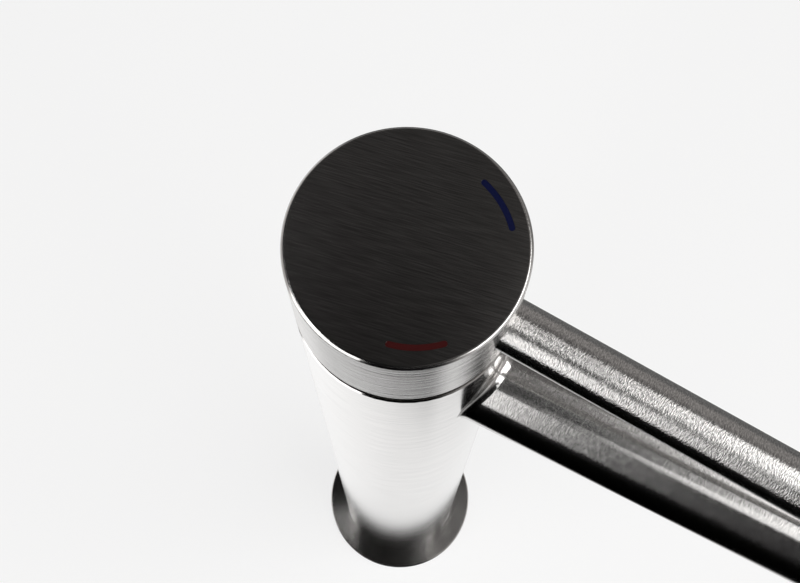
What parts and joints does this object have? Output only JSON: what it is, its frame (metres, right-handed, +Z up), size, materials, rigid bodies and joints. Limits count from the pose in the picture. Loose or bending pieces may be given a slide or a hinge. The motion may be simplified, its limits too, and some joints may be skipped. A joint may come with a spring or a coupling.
{
  "type": "basin mixer tap",
  "caption": "Tall single-lever basin mixer in brushed steel: round column, straight spout, round hub with a bar lever that lifts for flow and turns for heat.",
  "frame": {"origin": "centre of the foot, on the deck it stands on", "axes": "+Z up the column, -Y along the spout towards the user, +X to the user's right, the cold side"},
  "size_m": [0.053, 0.1905, 0.35],
  "materials": {
    "hub_steel": "brushed, straight grain on top, round the side",
    "lever_steel": "fine brushed round the bar",
    "column_steel": "fine brushed round the tube",
    "spout_steel": "fine brushed round the tube",
    "flange_steel": "fine turned",
    "outlet_steel": "satin",
    "pipe_steel": "drawn",
    "hardware_steel": "plain",
    "brass": "machined",
    "ceramic": "lapped",
    "white_plastic": "moulded",
    "insert_plastic": "moulded",
    "plug_grey": "satin",
    "seal_rubber": "matte",
    "hot_enamel": "satin enamel",
    "cold_enamel": "satin enamel"
  },
  "bodies": {
    "tap_body": {"fixed_disc": "ceramic", "cartridge_housing": "white_plastic", "cartridge_base": "white_plastic", "port_seals": "seal_rubber", "retaining_nut": "hardware_steel", "valve_body": "brass", "hot_riser": "pipe_steel", "cold_riser": "pipe_steel", "body_shell": "column_steel", "spout_tube": "spout_steel", "spout_end_cap": "spout_steel", "outlet_bush": "outlet_steel", "aerator_housing": "outlet_steel", "aerator_insert": "insert_plastic", "aerator_seal": "seal_rubber", "base_flange": "flange_steel", "base_gasket": "seal_rubber", "base_insert": "brass"},
    "handle": {"handle_hub": "hub_steel", "lever_rod": "lever_steel", "hot_mark": "hot_enamel", "cold_mark": "cold_enamel", "set_screw": "hardware_steel", "screw_plug": "plug_grey", "spindle": "hardware_steel"},
    "rotor": {"spindle_carrier": "white_plastic", "pivot_pin": "hardware_steel"},
    "disc_slide": {"disc_carrier": "white_plastic", "moving_disc": "ceramic"}
  },
  "joints": [
    {"name": "temperature", "type": "hinge", "parent": "tap_body", "child": "rotor", "pos_m": [0, 0, 0.315], "axis": [0, 0, 1], "range_deg": [-47, 53]},
    {"name": "flow", "type": "hinge", "parent": "rotor", "child": "handle", "pos_m": [0, 0, 0.315], "axis": [-0.9986, 0.0523, 0], "range_deg": [0, 25]},
    {"name": "disc_shift", "type": "slide", "parent": "rotor", "child": "disc_slide", "axis": [-0.0523, -0.9986, 0], "range_m": [0, 0.00382]}
  ],
  "couplings": [
    {"joint": "disc_shift", "follows": "flow", "m_per_rad": 0.00875}
  ]
}
